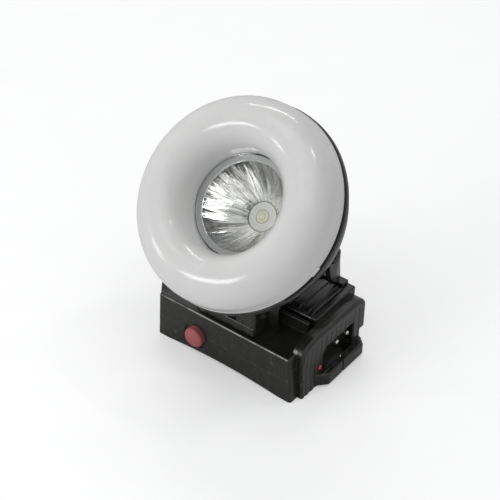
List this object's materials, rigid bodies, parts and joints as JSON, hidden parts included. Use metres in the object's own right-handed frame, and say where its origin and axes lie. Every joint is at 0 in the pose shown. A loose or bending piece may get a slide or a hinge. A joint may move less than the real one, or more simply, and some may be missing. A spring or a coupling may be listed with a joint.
{
  "type": "miner's cap lamp",
  "caption": "Cordless cap lamp: flat battery base with strap loops, push button and charging inlet, and a round lamp head on a tilting yoke.",
  "frame": {"origin": "the middle of the flat resting plane under the battery base, between the two end lands that rest on the cap or a table", "axes": "+Z from the cap side through the base towards the lamp head, -Y towards the face with the push button, +X towards the end with the charging inlet"},
  "size_m": [0.1, 0.0939, 0.1311],
  "materials": {
    "black_casing": "semi-gloss black moulded ABS",
    "black_cover": "gloss black moulded ABS",
    "red_rubber": "matt pink-red silicone rubber",
    "red_indicator": "translucent red LED body",
    "milk_white": "glossy milky-white polycarbonate",
    "mirror_chrome": "vacuum-metallised plastic mirror",
    "clear_lens": "clear polycarbonate",
    "white_plastic": "white moulded plastic",
    "led_yellow": "clear silicone over yellow phosphor",
    "steel": "zinc-plated steel",
    "nickel": "nickel-plated brass pin",
    "aluminium": "cast aluminium",
    "green_board": "green solder mask",
    "white_board": "white solder mask",
    "battery_wrap": "heat-shrink film",
    "red_wire": "PVC insulation",
    "black_wire": "black rubber"
  },
  "bodies": {
    "base": {"lower_shell": "black_casing", "upper_shell": "black_casing", "front_cradle": "black_casing", "pod_cover_right": "black_cover", "pod_cover_left": "black_cover", "button_spring": "steel", "switch_body": "black_cover", "battery_pack": "battery_wrap", "battery_lead_positive": "red_wire", "battery_lead_negative": "black_wire", "charger_board": "green_board", "inlet_socket": "black_cover", "inlet_pin_front": "nickel", "inlet_pin_rear": "nickel", "charge_indicator": "red_indicator", "shell_screw_1": "steel", "shell_screw_2": "steel", "shell_screw_3": "steel", "shell_screw_4": "steel", "yoke": "black_casing", "yoke_screw_right": "steel", "yoke_screw_left": "steel"},
    "button": {"push_button": "red_rubber"},
    "head": {"lamp_cup": "black_casing", "rim_gasket": "black_wire", "diffuser": "milk_white", "reflector": "mirror_chrome", "lens": "clear_lens", "led_holder": "white_plastic", "led_emitter": "led_yellow", "heat_sink": "aluminium", "driver_board": "green_board", "side_light_board": "white_board", "side_led_1": "led_yellow", "side_led_2": "led_yellow", "side_led_3": "led_yellow", "side_led_4": "led_yellow", "side_led_5": "led_yellow", "side_led_6": "led_yellow", "side_led_7": "led_yellow", "side_led_8": "led_yellow", "side_led_9": "led_yellow", "side_led_10": "led_yellow", "side_led_11": "led_yellow", "side_led_12": "led_yellow", "pivot_screw_right": "steel", "pivot_screw_left": "steel"}
  },
  "joints": [
    {"name": "head_tilt", "type": "hinge", "parent": "base", "child": "head", "pos_m": [0, 0.0172, 0.0544], "axis": [-1, 0, 0], "range_deg": [0, 46]},
    {"name": "button_press", "type": "slide", "parent": "base", "child": "button", "axis": [0, 1, 0], "range_m": [0, 0.0015], "stiffness_N_per_m": 1200, "deforming": ["button_spring"]}
  ]
}
